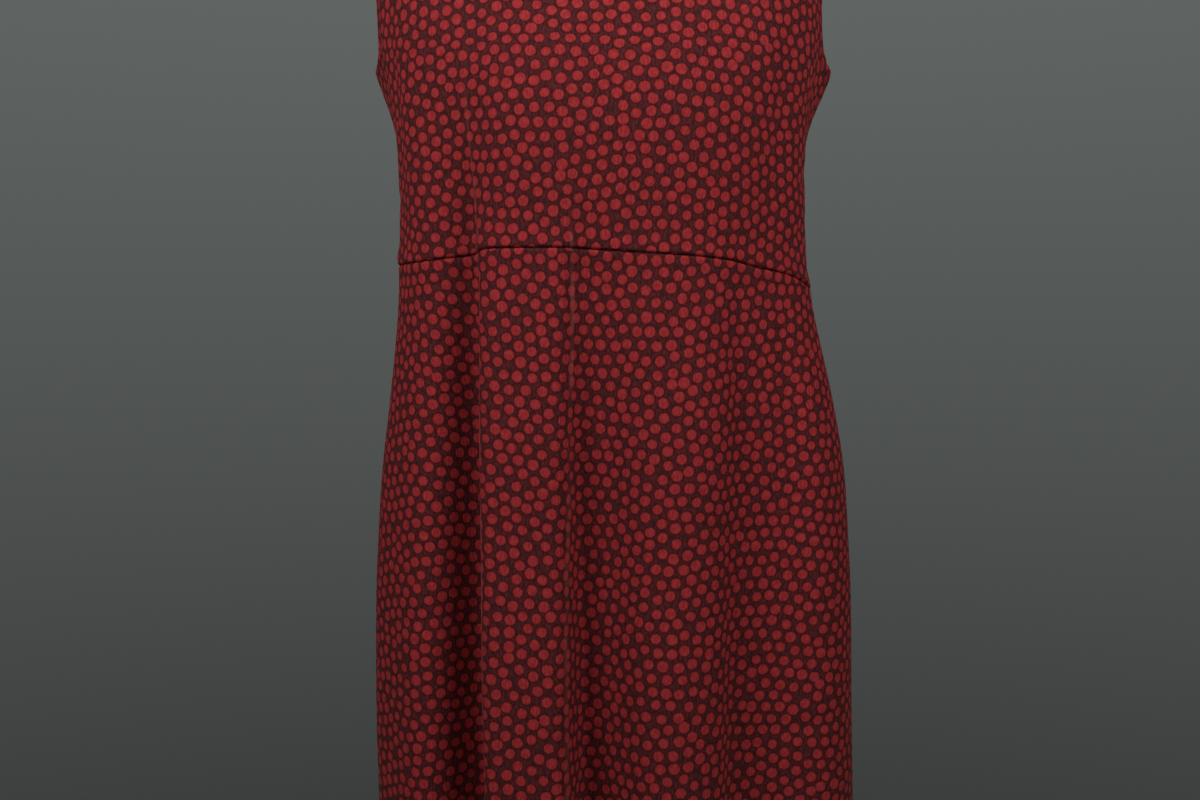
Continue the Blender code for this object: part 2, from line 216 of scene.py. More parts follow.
# Smaller creases of the worn cloth, which the solids leave out, in the same terms. They start and
# end where the cloth is pulled or let go, and no two are alike.
CREASES = (
    Fold("bodice front, left of middle", (-0.190, -0.270, -0.370, -0.480), (-15, -15, -15, -15),
         (0, 0.0020, 0.0030, 0), 0.024, 0.010, 2, 4),
    Fold("bodice front, under the right armhole", (-0.170, -0.220, -0.300, -0.380), (58, 56, 55, 55),
         (0, -0.0035, -0.0025, 0), 0.014, 0.011, 2, 2),
    Fold("bodice front, under the left armhole", (-0.150, -0.200, -0.280, -0.360), (-66, -67, -68, -69),
         (0, -0.0030, -0.0020, 0), 0.011, 0.010, 2, 2),
    Fold("skirt front, narrow crease on the right", (-0.375, -0.410, -0.470, -0.540), (46, 47, 48, 49),
         (0, -0.0040, -0.0040, 0), 0.006, 0.005, 2, 2),
    Fold("skirt front, second crease on the right", (-0.380, -0.440, -0.520, -0.600), (61, 61, 61, 62),
         (0, -0.0030, -0.0035, 0), 0.008, 0.007, 2, 2),
    Fold("skirt front, floor of the middle hollow", (-0.400, -0.520, -0.740, -0.960), (9, 8, 7, 7),
         (0, -0.0026, -0.0034, -0.0030), 0.022, 0.012, 2, 2),
    Fold("skirt front, left side of the right hanging fold", (-0.400, -0.500, -0.740, -0.960),
         (19.5, 19.5, 19, 19), (0, -0.0024, -0.0032, -0.0030), 0.018, 0.014, 2, 2),
    Fold("skirt front, edge of the right hanging fold", (-0.370, -0.450, -0.600, -0.960),
         (40, 40.5, 40.5, 39.5), (0, 0.0026, 0.0036, 0.0030), 0.024, 0.008, 2, 2),
    Fold("skirt front, low crease on the right", (-0.540, -0.640, -0.780, -0.960), (45.5, 45.5, 45, 44.5),
         (0, -0.0022, -0.0030, -0.0024), 0.006, 0.007, 2, 2),
    Fold("skirt front, on the left hanging fold", (-0.400, -0.520, -0.700, -0.960), (-31, -31, -30, -29),
         (0, -0.0016, -0.0022, -0.0016), 0.009, 0.010, 2, 2),
    Fold("skirt front, on the right hanging fold", (-0.480, -0.600, -0.780, -0.960), (34, 34, 33, 32),
         (0, -0.0018, -0.0024, -0.0016), 0.010, 0.010, 2, 2),
    Fold("skirt, left side", (-0.420, -0.540, -0.700, -0.960), (-79, -79, -80, -81),
         (0, -0.0040, -0.0080, -0.0100), 0.016, 0.006, 2, 4),
    Fold("skirt, right side", (-0.500, -0.600, -0.760, -0.960), (82, 82, 83, 84),
         (0, -0.0030, -0.0045, -0.0060), 0.012, 0.013, 2, 2),
    Fold("bodice back, right of middle", (-0.200, -0.290, -0.380, -0.470), (160, 159, 158, 158),
         (0, 0.0022, 0.0030, 0), 0.012, 0.020, 3, 2),
    Fold("bodice back, left of middle", (-0.230, -0.310, -0.390, -0.460), (-158, -157, -156, -156),
         (0, 0.0020, 0.0026, 0), 0.018, 0.011, 2, 3),
    Fold("bodice back, under the right armhole", (-0.170, -0.230, -0.310, -0.370), (122, 124, 125, 125),
         (0, -0.0030, -0.0020, 0), 0.012, 0.012, 2, 2),
    Fold("bodice back, under the left armhole", (-0.160, -0.220, -0.300, -0.370),
         (-120, -122, -124, -124), (0, -0.0034, -0.0022, 0), 0.011, 0.013, 2, 2),
    Fold("skirt back, right of middle", (-0.400, -0.520, -0.700, -0.960), (157, 157, 156, 155),
         (0, 0.0026, 0.0034, 0.0028), 0.012, 0.012, 2, 2),
    Fold("skirt back, left of middle", (-0.420, -0.560, -0.720, -0.960), (-158, -157, -157, -158),
         (0, 0.0022, 0.0032, 0.0026), 0.011, 0.014, 2, 2),
)

# Painted sheen: pale lines painted along the sharpest folds, two on each side of the dress, where the
# cloth turns away and its raised fibres catch the light: their turn at each height, and how strong the
# painted highlight is there
SheenLine = namedtuple("SheenLine", "heights turns strengths")
SHEEN_LINES = {
    FRONT: (SheenLine((-0.200, -0.270, -0.330, -0.450, -0.560, -0.680, -0.800, -0.950),
                    (-41.0, -42.4, -42.6, -43.2, -42.6, -41.2, -40.0, -39.5),
                    (0, 0.3, 0.8, 0.8, 1.0, 0.8, 0.9, 0.7)),
            SheenLine((-0.310, -0.350, -0.390, -0.420, -0.480, -0.600, -0.720, -0.950),
                    (-11.7, -12.0, -12.1, -13.0, -14.0, -15.1, -14.2, -14.0),
                    (0, 0.6, 0.7, 0.5, 0.25, 0.4, 0.5, 0.25))),
    BACK: (SheenLine((-0.400, -0.500, -0.700, -0.950), (147.5, 147, 146, 144.5), (0, 0.4, 0.5, 0.3)),
           SheenLine((-0.420, -0.520, -0.700, -0.950), (-148.5, -148, -147.5, -147), (0, 0.4, 0.3, 0.5))),
}

# Short shallow dents and ridges across the cloth: where the middle is, how long and wide it is along
# its own direction, that direction's slope, and how far it stands out.
Dent = namedtuple("Dent", "turn z length width slope rise")
DENTS = (
    Dent(49, -0.545, 0.020, 0.0050, -12, -0.0014),
    Dent(64, -0.690, 0.022, 0.0060, 10, -0.0014),
    Dent(72, -0.735, 0.018, 0.0050, 16, 0.0012),
    Dent(-56, -0.610, 0.022, 0.0070, 8, -0.0012),
    Dent(-74, -0.470, 0.020, 0.0060, -20, -0.0014),
    Dent(70, -0.330, 0.022, 0.0060, 24, -0.0016),
    Dent(74, -0.290, 0.020, 0.0060, 28, -0.0014),
    Dent(-74, -0.310, 0.022, 0.0060, -24, -0.0016),
    Dent(-78, -0.345, 0.018, 0.0050, -14, 0.0012),
    Dent(108, -0.315, 0.022, 0.0060, -24, -0.0015),
    Dent(-106, -0.325, 0.022, 0.0060, 22, -0.0015),
    Dent(140, -0.640, 0.024, 0.0070, 12, -0.0013),
    Dent(-122, -0.560, 0.022, 0.0060, -12, -0.0013),
    Dent(176, -0.720, 0.022, 0.0060, -9, -0.0011),
)

# Turned edges: how far in their first row of stitches lies, how far apart a twin needle sews its two
# rows, how much thicker the double cloth is, and over what softness it thins. A stitch shows over a
# share of its length. The thread is drawn wider than its 0.4 mm to show, and it fades between two
# shares of that. An edge's points are filled in, so that the distance to it is smooth.
HEM_TURNED = 0.020
EDGE_TURNED = 0.008
ROWS_APART = 0.0030
DOUBLE_CLOTH = 0.7
DOUBLE_SOFTNESS = 0.0012
STITCH = 0.0034
STITCH_SHARE = 0.80
THREAD = 0.0008
THREAD_EDGE = 0.7
THREAD_MIDDLE = 0.3
GROOVE = 0.0018
EDGE_FILLING = 8

# Print: round dots of one size on a square repeat of the cloth. They start in the cells of a grid,
# scattered over this many cells, are pushed apart again and again by a share of what they lack of
# their usual distance, and last wobble a little. Then, where on the repeat the middle of each
# panel's lower edge was cut.
REPEAT = 0.320
DOTS_ACROSS_REPEAT = 33
DOT_RADIUS = 0.00362
DOT_SCATTER = 1.6
DOT_DISTANCE = 0.0113
DOT_PUSH = 0.3
DOT_STEPS = 28
DOT_WOBBLE = 0.0004
PRINT_SEED = 11
Place = namedtuple("Place", "x y")
PRINT_PLACES = {
    "bodice_front": Place(0.040, 0.110),
    "bodice_back": Place(0.205, 0.020),
    "skirt_front": Place(0.130, 0.245),
    "skirt_back": Place(0.290, 0.160),
}

# How many dots each face is told of, and how many faces are looked at together, to save memory
DOTS_NEAR_A_FACE = 3
FACES_TOGETHER = 4000

# Laying a panel flat: how many moves, and how much of its speed a point keeps from move to move
FLAT_STEPS = 420
FLAT_SPEED_KEPT = 0.97

# The form of a row for a cut piece's flat width and length without seam allowances, and its area; no rows
# are made with it
Cut = namedtuple("Cut", "width length area")

# Printed jersey, drawn in real sizes. Four mottles have a size in metres and a noise's detail and
# roughness: raised fibres in clumps, heathered yarn, dots that swell and shrink a little, and the
# painted sheen along folds, which comes and goes in stretches. A yarn's heather is longer than wide,
# and its dark and its pale colour are reached at two values of its mottle.
Mottle = namedtuple("Mottle", "size detail roughness")
FIBRES = Mottle(0.0011, 3.0, 0.6)
HEATHER = Mottle(0.0016, 2.0, 0.7)
DOT_SIZES = Mottle(0.014, 0.0, 0.5)
SHEEN_BREAKS = Mottle(0.018, 1.0, 0.5)
YARN_STRETCH = 0.35
HEATHER_DARK = 0.34
HEATHER_PALE = 0.66

# The ink's edge wanders, and fades over a few tenths of a millimetre into a darker ring
PRINT_WOBBLE = 0.0018
PRINT_SWELLING = 0.0014
PRINT_SOFTNESS = 0.00062
RING_WIDTH = 0.0017

# A painted sheen line, a highlight where a fold turns away: how far from it the paleness starts, from
# where it is full, how full it is, and the values of its mottle between which it grows from its least
# share to all of it
SHEEN_LINE_WIDTH = 0.0017
SHEEN_LINE_MIDDLE = SHEEN_LINE_WIDTH / 4
SHEEN_LINE_PALENESS = 0.60
SHEEN_LEAST = 0.3
SHEEN_FROM = 0.35
SHEEN_TO = 0.6

# Relief of the knit. A wale, one ridge with its furrow, is 0.9 mm wide and would be too fine to show,
# so it is drawn three times as wide. The wave texture draws 20 / (2 pi) bands to a unit of its place.
# A wale counts less than the fibres do, and a groove of stitches more.
WALE = 0.0026
WAVE_BANDS = 20 / (2 * np.pi)
WALE_WANDER = 1.2
WALE_DETAIL = 1.0
WALE_DETAIL_SCALE = 2.0
WALE_SHARE = 0.4
KNIT_HEIGHT = 0.00025
KNIT_STRENGTH = 0.8
GROOVE_DEPTH = 4.0

# Brushed cotton is matt, with hardly any shine and a faint bloom of fibres at a grazing view
ROUGHNESS = 0.92
SPECULAR = 0.12
SHEEN = 0.06
SHEEN_ROUGHNESS = 0.45
SHEEN_COLOUR = "#B8605C"

# Colours of the printed side, and of the reverse, where the print shows through paler; on each side the
# pale fold-line colour is a painted sheen highlight
PRINTED = {"dots": ("#9B2A2E", "#B1393B"), "ring": "#451011", "ground": ("#3F1E20", "#65292B"),
           "pressed": "#B0655F", "thread": "#4A1A1E"}
REVERSE = {"dots": ("#7A3436", "#86403F"), "ring": "#5A2A2C", "ground": ("#5A2A2C", "#6E3A3C"),
           "pressed": "#8A5352", "thread": "#4A1A1E"}

# What the material reads from a piece
FLAT_CLOTH = "flat_cloth"
DOT_PLACE = "dot_place_"
STITCHING = "stitching"
# Places beside the painted sheen lines, the pale highlight along the sharpest folds
SHEEN_PLACES = "sheen_places"

# The Mix node's sockets for the colour under, the colour over and their mixture
UNDER = 6
OVER = 7
MIXED = 2

# Camera: a metre in front of the dress, a little left of its middle
CAMERA_PLACE = (-0.0023, -1.000, -0.386)
CAMERA_TILT = 4.0
SENSOR_WIDTH = 36.0
FOCAL_LENGTH = 38.55

# Studio: the floor, the surround's lower and upper colour, between which slopes of view they blend,
# its light on the dress, and the lights
FLOOR_HEIGHT = -1.400
FLOOR_HALF = 1.45
FLOOR_COLOUR = "#D9D6D0"
FLOOR_ROUGHNESS = 0.8
SURROUND_COLOURS = ("#3A3D3B", "#616563")
SURROUND_LOW = -0.37
SURROUND_HIGH = 0.24
SURROUND_LIGHT = 0.55
Light = namedtuple("Light", "name place width height power aim")
LIGHTS = (
    Light("left_softbox", (-0.70, -0.82, 0.28), 0.5, 0.5, 7.8, (0, 0, 0.10)),
    Light("right_softbox", (0.70, -0.82, 0.28), 0.5, 0.5, 6.7, (0, 0, 0.10)),
    Light("back_softbox", (0.0, 1.9, 0.60), 1.6, 1.2, 24, (0, 0, -0.40)),
)

# The step over which a slope is measured, in degrees and in metres, the rounding of a table's
# corners, in metres of height and in degrees along the waist seam, how many reaches out a fold has
# ended, and a distance further than any dot's
SLOPE_STEP = 2e-5
ROUNDING = 0.012
SEAM_ROUNDING = 1.5
FOLD_END = 3.0
FAR = 3.0


def smooth(at, places, values, rounding=ROUNDING):
    """Straight lines from value to value, level beyond both ends, with each corner rounded: a change
    of slope at a place adds change * rounding * log(1 + exp(past / rounding))."""
    order = np.argsort(places)
    places, values = np.array(places, float)[order], np.array(values, float)[order]
    slopes = np.concatenate([[0], np.diff(values) / np.diff(places), [0]])
    result = np.full_like(np.asarray(at, float), values[0])
    for place, change in zip(places, np.diff(slopes)):
        result = result + change * rounding * np.logaddexp(0, (at - place) / rounding)
    return result


def column_of(table, name):
    """One column of a table, as a list."""
    return [getattr(row, name) for row in table]


def wrapped(turn):
    """The same turn, from -180 to 180."""
    return (turn + 180) % 360 - 180


def level(z, table, name):
    """One column of a table of heights, read at any height."""
    return smooth(z, column_of(table, "z"), column_of(table, name))


def ring(turn, z):
    """Radius, half width and depth of the smooth ring: (sin/half)^n + (cos/depth)^n = radius^-n."""
    left, right = (level(z, WIDTHS, name) for name in ("left", "right"))
    front, back, square = (level(z, DEPTHS, name) for name in ("front", "back", "square"))
    sine, cosine = np.sin(np.radians(turn)), np.cos(np.radians(turn))
    half = np.where(sine > 0, right, left)
    depth = np.where(cosine > 0, front, back)
    radius = ((np.abs(sine) / half) ** square + (np.abs(cosine) / depth) ** square) ** (-1 / square)
    return radius, half, depth


def fold_push(turn, z, radius):
    """How far the folds move the cloth out: each is a bump across its path, exp(-(away/reach)^crisp),
    with its own reach and crispness on each side, whose path and height follow its row. A dent is a
    bump exp(-along^2 - aside^2) that slopes across the cloth."""
    push = np.zeros_like(radius)
    for fold in FOLDS + CREASES:
        path = smooth(z, fold.heights, fold.turns)
        rise = smooth(z, fold.heights, fold.rises)
        away = np.radians(wrapped(turn - path)) * radius
        reach = np.where(away < 0, fold.before, fold.after)
        crisp = np.where(away < 0, fold.crisp_before, fold.crisp_after)
        push += rise * np.exp(-np.minimum(np.abs(away / reach), FOLD_END) ** crisp)
    for dent in DENTS:
        across = np.radians(wrapped(turn - dent.turn)) * radius
        sine, cosine = np.sin(np.radians(dent.slope)), np.cos(np.radians(dent.slope))
        along = (across * cosine + (z - dent.z) * sine) / dent.length
        aside = ((z - dent.z) * cosine - across * sine) / dent.width
        push += dent.rise * np.exp(-np.minimum(along**2 + aside**2, FOLD_END**2))
    return push


def shoulder_height(x):
    """Height of the shoulder line: level across the neck, then sloping down to the tip."""
    return -SHOULDER_SLOPE * np.maximum(np.abs(x) - NECK_HALF_WIDTH, 0)


def form(turn, z):
    """The middle of the cloth: the ring, moved along its own outward direction by the folds, and
    closed over the shoulders by a quarter of an ellipse."""
    turn, z = np.broadcast_arrays(np.asarray(turn, float), np.asarray(z, float))
    radius, half, depth = ring(turn, z)
    sine, cosine = np.sin(np.radians(turn)), np.cos(np.radians(turn))
    out_x, out_y = sine / half**2, -cosine / depth**2
    push = fold_push(turn, z, radius) / np.hypot(out_x, out_y)
    x = radius * sine + push * out_x
    y = -radius * cosine + push * out_y
    below = np.clip((shoulder_height(x) - z) / SHOULDER_ROUND, 0, 1)
    return np.stack([x, y * np.sqrt(1 - (1 - below) ** 2), z], axis=-1)


def outward(turn, z):
    """The cloth's unit normal: its slope round the dress crossed with its slope up the dress."""
    here = form(turn, z)
    around = form(turn + SLOPE_STEP, z) - form(turn - SLOPE_STEP, z)
    up = here - form(turn, z - SLOPE_STEP)
    normal = np.cross(around, up)
    return normal / np.linalg.norm(normal, axis=-1, keepdims=True)


def side_of(middle):
    """Columns run from -X to +X, which is with the turn on the front and against it on the back."""
    return 1 if middle == FRONT else -1


def waist_height(turn):
    """The height of the waist seam at any turn."""
    turns, heights = column_of(WAIST_SEAM, "turn"), column_of(WAIST_SEAM, "z")
    return smooth(wrapped(turn), turns, heights, SEAM_ROUNDING)


def turn_at(x, z, middle):
    """The turn, from the middle of its panel, at which the smooth ring at this height is x wide."""
    half = np.where(x < 0, level(z, WIDTHS, "left"), level(z, WIDTHS, "right"))
    depth = level(z, DEPTHS, "front" if middle == FRONT else "back")
    square = level(z, DEPTHS, "square")
    y = depth * (1 - np.minimum(np.abs(x) / half, 1) ** square) ** (1 / square)
    return np.degrees(np.arctan2(x, y))


def spaced(fine, density, count):
    """Places from the first to the last of the fine ones, with equal sums of density between them."""
    place = np.concatenate([[0], np.cumsum((density[1:] + density[:-1]) / 2)])
    return np.interp(np.linspace(0, place[-1], count + 1), place, fine)


def panel_columns(count, middle, z):
    """Shares of a quarter turn, from -1 to 1, at one height: closer together where the edge of a
    fold crosses the panel there, and at its side seams."""
    fine = np.linspace(-1, 1, COLUMN_SAMPLES)
    density = np.ones_like(fine)
    for fold in FOLDS:
        path = smooth(z, fold.heights, fold.turns)
        strength = abs(smooth(z, fold.heights, fold.rises)) / FOLD_RISE
        edges = ((-fold.before, fold.crisp_before), (fold.after, fold.crisp_after))
        for reach, crisp in edges:
            edge = path + np.degrees(reach / USUAL_RADIUS)
            away = wrapped(middle + side_of(middle) * QUARTER * fine - edge)
            spread = FOLD_SPREAD / crisp
            density += strength * crisp * np.exp(-((away / spread) ** 2))
    to_end = (1 - np.abs(fine)) * np.pi / 2 * USUAL_RADIUS
    density += SIDE_DENSITY * np.exp(-((to_end / SIDE_REACH) ** 2))
    return spaced(fine, density, count)


def rows_between(count, fine_start, fine_end):
    """Shares from 0 to 1 of the way up a panel, closer together at the ends that are sewn."""
    fine = np.linspace(0, 1, ROW_SAMPLES)
    density = 1 + ROW_DENSITY * (fine_start * np.exp(-((fine / ROW_REACH) ** 2))
                                 + fine_end * np.exp(-(((1 - fine) / ROW_REACH) ** 2)))
    return spaced(fine, density, count)


def bodice_grid(middle, count):
    """Turns and heights of a bodice panel, row by row from the waist seam up. Below the armhole a
    row runs from seam to seam, and rows come closer together. Above it, rows draw in to the armhole
    edge and bend to end on the shoulder line and the neck curve."""
    low = rows_between(BODICE_LOW_ROWS, 1, 0)[:, None]
    levels = WAIST + (ARMHOLE_BOTTOM - WAIST) * low[:, 0]
    low_shares = np.array([panel_columns(count, middle, z) for z in levels])
    waist = waist_height(middle + side_of(middle) * QUARTER * low_shares)
    low_heights = waist + (ARMHOLE_BOTTOM - waist) * low

    share = low_shares[-1]
    drop = FRONT_NECK_DROP if middle == FRONT else BACK_NECK_DROP
    over_neck = np.radians(QUARTER * np.clip(share / NECK_SHARE, -1, 1))
    along = np.clip((np.abs(share) - NECK_SHARE) / (1 - NECK_SHARE), 0, 1)
    top_x = (NECK_HALF_WIDTH * np.sin(over_neck)
             + np.sign(share) * along * (SHOULDER_TIP - NECK_HALF_WIDTH))
    top_z = shoulder_height(top_x) - np.where(np.abs(share) < NECK_SHARE, drop * np.cos(over_neck), 0)
    top_share = turn_at(top_x, top_z, middle) / ARMHOLE[-1].turn

    up = np.linspace(0, 1, BODICE_TOP_ROWS + 1)[1:, None]
    rise = (1 - np.cos(np.pi * up)) / 2
    bend = up**2 * (3 - 2 * up)
    edge = np.interp(rise, column_of(ARMHOLE, "rise"), column_of(ARMHOLE, "turn")) / QUARTER
    top_heights = ARMHOLE_BOTTOM + (top_z - ARMHOLE_BOTTOM) * rise
    drawn_in = share * (1 - (1 - edge) * np.abs(share))
    top_shares = drawn_in * (1 - bend) + edge * top_share * bend

    shares = np.concatenate([low_shares, top_shares])
    heights = np.concatenate([low_heights, top_heights])
    return middle + side_of(middle) * QUARTER * shares, heights


def skirt_grid(middle, count):
    """Turns and heights of a skirt panel, row by row from the hem up to the waist seam."""
    up = rows_between(SKIRT_ROWS, 0, 1)[:, None]
    levels = HEM + (WAIST - HEM) * up[:, 0]
    shares = np.array([panel_columns(count, middle, z) for z in levels])
    turns = middle + side_of(middle) * QUARTER * shares
    return turns, HEM + (waist_height(turns) - HEM) * up


def draw_back(grid, edge, where):
    """Moves part of the first or last row of a grid half a seam gap towards the next row."""
    step = grid[1 if edge == 0 else -2, where] - grid[edge, where]
    grid[edge, where] += step / np.linalg.norm(step, axis=-1, keepdims=True) * SEAM_GAP / 2


def cloth_sheet(name, points, offsets, print_at, near, beside, materials):
    """A closed thin shell from a grid of middle points: an outer and an inner sheet at the offsets to
    either side, joined by a rim all round. Every corner keeps its place on the flat cloth and beside
    stitches and the painted sheen lines, and every face the places of the dots nearest to it."""
    rows, columns = points.shape[:2]
    outer = np.arange(rows * columns).reshape(rows, columns)
    low, high = outer[:-1], outer[1:]
    front = np.stack([low[:, :-1], low[:, 1:], high[:, 1:], high[:, :-1]], axis=-1).reshape(-1, 4)
    back = front[:, ::-1] + outer.size
    rim = np.concatenate([outer[0], outer[1:, -1], outer[-1, -2::-1], outer[-2:0:-1, 0]])
    after = np.roll(rim, -1)
    edge = np.stack([rim, rim + outer.size, after + outer.size, after], axis=-1)
    quads = np.concatenate([front, back, edge])
    corners = np.concatenate([points + offsets, points - offsets])
    flat = np.concatenate([print_at.reshape(-1, 2)] * 2)

    mesh = bpy.data.meshes.new(name)
    mesh.from_pydata(corners.reshape(-1, 3).tolist(), [], quads.tolist())
    for material in materials:
        mesh.materials.append(material)
    inside = np.zeros(len(quads), np.int32)
    inside[len(front) : len(front) + len(back)] = 1
    mesh.polygons.foreach_set("material_index", inside)
    uv = mesh.uv_layers.new(name=FLAT_CLOTH)
    uv.data.foreach_set("uv", flat[quads.reshape(-1)].astype(np.float32).reshape(-1))
    centres = flat[quads].mean(axis=1)
    for number, places in enumerate(near(centres)):
        layer = mesh.attributes.new(f"{DOT_PLACE}{number}", "FLOAT_VECTOR", "FACE")
        layer.data.foreach_set("vector", places.astype(np.float32).reshape(-1))
    for attribute, places in beside.items():
        layer = mesh.attributes.new(attribute, "FLOAT_VECTOR", "POINT")
        layer.data.foreach_set("vector", np.tile(places.reshape(-1), 2).astype(np.float32))
    mesh.shade_smooth()
    piece = bpy.data.objects.new(name, mesh)
    bpy.context.collection.objects.link(piece)
    return piece


def flattened(points, middle_column):
    """Lays a grid of cloth flat. It starts from the lengths along its rows and columns, then moves
    every point again and again, so that the edges and diagonals of the cells get their lengths on
    the cloth back."""
    def steps(grid, axis):
        length = np.linalg.norm(np.diff(grid, axis=axis), axis=-1)
        return np.insert(np.cumsum(length, axis=axis), 0, 0, axis=axis)

    along, up = steps(points, 1), steps(points, 0)
    flat = np.stack([along - along[:, middle_column, None], up], axis=-1)
    every, first, last = slice(None), slice(None, -1), slice(1, None)
    pairs = [((every, first), (every, last)), ((first, every), (last, every)),
             ((first, first), (last, last)), ((first, last), (last, first))]
    lengths = [np.linalg.norm(points[b] - points[a], axis=-1) for a, b in pairs]
    speed = np.zeros_like(flat)
    for _ in range(FLAT_STEPS):
        move = np.zeros_like(flat)
        for (a, b), length in zip(pairs, lengths):
            gap = flat[b] - flat[a]
            now = np.linalg.norm(gap, axis=-1)
            pull = gap * ((now - length) / (2 * now))[..., None]
            move[a] += pull
            move[b] -= pull
        speed = FLAT_SPEED_KEPT * speed + move / (2 * len(pairs))
        flat = flat + speed
    return flat


def scattered_dots():
    """Places of the dots on one repeat: scattered over a square grid's cells, then, many times over,
    pushed apart where two lie nearer than the usual distance, across the repeat's edges too, and
    last moved a little at random."""
    draw = np.random.default_rng(PRINT_SEED)
    count = DOTS_ACROSS_REPEAT
    cells = np.stack(np.meshgrid(range(count), range(count)), axis=-1).reshape(-1, 2)
    places = (cells + DOT_SCATTER * draw.random(cells.shape)) * REPEAT / count
    for _ in range(DOT_STEPS):
        gap = places[:, None] - places[None]
        gap -= np.round(gap / REPEAT) * REPEAT
        distance = np.linalg.norm(gap, axis=-1) + np.eye(len(places)) * REPEAT
        close = np.maximum(DOT_DISTANCE - distance, 0) / distance
        places = (places + DOT_PUSH * (gap * close[..., None]).sum(axis=1)) % REPEAT
    return (places + draw.normal(0, DOT_WOBBLE, places.shape)) % REPEAT


def nearest_dots(dots):
    """A function that gives, for places on the cloth, the places of the dots nearest to each."""
    def near(at):
        found = np.empty((DOTS_NEAR_A_FACE, len(at), 3))
        for start in range(0, len(at), FACES_TOGETHER):
            part = at[start : start + FACES_TOGETHER]
            gap = dots[None] - part[:, None]
            gap -= np.round(gap / REPEAT) * REPEAT
            order = np.argpartition((gap**2).sum(axis=-1), DOTS_NEAR_A_FACE, axis=1)
            for k in range(DOTS_NEAR_A_FACE):
                place = part + np.take_along_axis(gap, order[:, k, None, None], axis=1)[:, 0]
                found[k, start : start + FACES_TOGETHER] = np.pad(place, ((0, 0), (0, 1)))
        return found
    return near


def seam_profile(away):
    """How far the cloth stands out beside a seam: it swells over its allowance, then rolls in."""
    swell = SEAM_SWELL * np.exp(-(((away - SEAM_SWELL_REACH / 2) / SEAM_SWELL_REACH) ** 2))
    return swell - (SEAM_ROLL + SEAM_SWELL) * np.exp(-((away / SEAM_ROLL_REACH) ** 2))


def side_seam_distance(turns, z):
    """How far round the dress a point lies from the nearer side seam."""
    from_seam = np.abs(QUARTER - np.abs(wrapped(turns)))
    return np.radians(from_seam) * ring(turns, z)[0]


def stitch_places(points, edges, turned):
    """Each point's place beside the turned edges: how far along the nearest one it lies, and how far
    in from the first row of stitches. An edge is a line of points, filled in between them."""
    lines = []
    for edge in edges:
        place = np.linspace(0, len(edge) - 1, EDGE_FILLING * len(edge))
        lines.append(np.stack([np.interp(place, range(len(edge)), axis) for axis in edge.T], axis=-1))
    line = np.concatenate(lines)
    along = np.cumsum(np.linalg.norm(np.diff(line, axis=0, prepend=line[:1]), axis=-1))
    found = np.zeros_like(points)
    for row, here in enumerate(points):
        away = np.linalg.norm(here[:, None] - line[None], axis=-1)
        found[row, :, 0] = along[away.argmin(axis=1)]
        found[row, :, 1] = away.min(axis=1) - turned
    return found


def pressed_places(turns, heights, middle):
    """Each point's distance round the dress from the two painted sheen lines on its side, nought on the
    line, and how strong the painted highlight of the nearer one is at its height."""
    radius = ring(turns, heights)[0]
    away, strength = [], []
    for line in SHEEN_LINES[middle]:
        path = smooth(heights, line.heights, line.turns)
        away.append(np.radians(wrapped(turns - path)) * radius)
        strength.append(smooth(heights, line.heights, line.strengths))
    nearer = np.where(np.abs(away[0]) < np.abs(away[1]), *strength)
    return np.stack([*away, nearer], axis=-1)


def bodice(name, middle, materials, dots):
    """A bodice panel, drawn back half a gap at its seams, its lower edge a little proud of the skirt,
    with its neck and armholes turned in and stitched."""
    turns, heights = bodice_grid(middle, BODICE_COLUMNS)
    normals = outward(turns, heights)
    points = form(turns, heights)
    above = heights - waist_height(turns)
    shoulder = np.abs(heights[-1] - shoulder_height(points[-1, :, 0])) < CLOTH
    below_shoulder = np.cumsum(
        np.linalg.norm(np.diff(points[::-1], axis=0, prepend=points[-1:]), axis=-1), axis=0)[::-1]
    out = seam_profile(above) + SEAM_STEP * np.exp(-((above / SEAM_STEP_HEIGHT) ** 2))
    out += seam_profile(side_seam_distance(turns, heights)) * (heights < ARMHOLE_BOTTOM + CLOTH)
    out += seam_profile(below_shoulder) * shoulder
    points += normals * out[..., None]
    draw_back(points, 0, slice(None))
    draw_back(points, -1, shoulder)
    for side in (0, -1):
        draw_back(points.swapaxes(0, 1), side, slice(BODICE_LOW_ROWS + 1))
    edges = points[BODICE_LOW_ROWS:, 0], points[-1, ~shoulder], points[BODICE_LOW_ROWS:, -1]
    beside = {STITCHING: stitch_places(points, edges, EDGE_TURNED),
              SHEEN_PLACES: pressed_places(turns, heights, middle)}
    finished(name, middle, points, normals, beside, materials, dots)


def skirt(name, middle, materials, dots):
    """A skirt panel, drawn back half a gap at its seams, with its hem turned up and stitched."""
    turns, heights = skirt_grid(middle, SKIRT_COLUMNS)
    normals = outward(turns, heights)
    points = form(turns, heights)
    below = waist_height(turns) - heights
    out = seam_profile(below) + seam_profile(side_seam_distance(turns, heights))
    points += normals * out[..., None]
    draw_back(points, -1, slice(None))
    for side in (0, -1):
        draw_back(points.swapaxes(0, 1), side, slice(None))
    beside = {STITCHING: stitch_places(points, [points[0]], HEM_TURNED),
              SHEEN_PLACES: pressed_places(turns, heights, middle)}
    finished(name, middle, points, normals, beside, materials, dots)


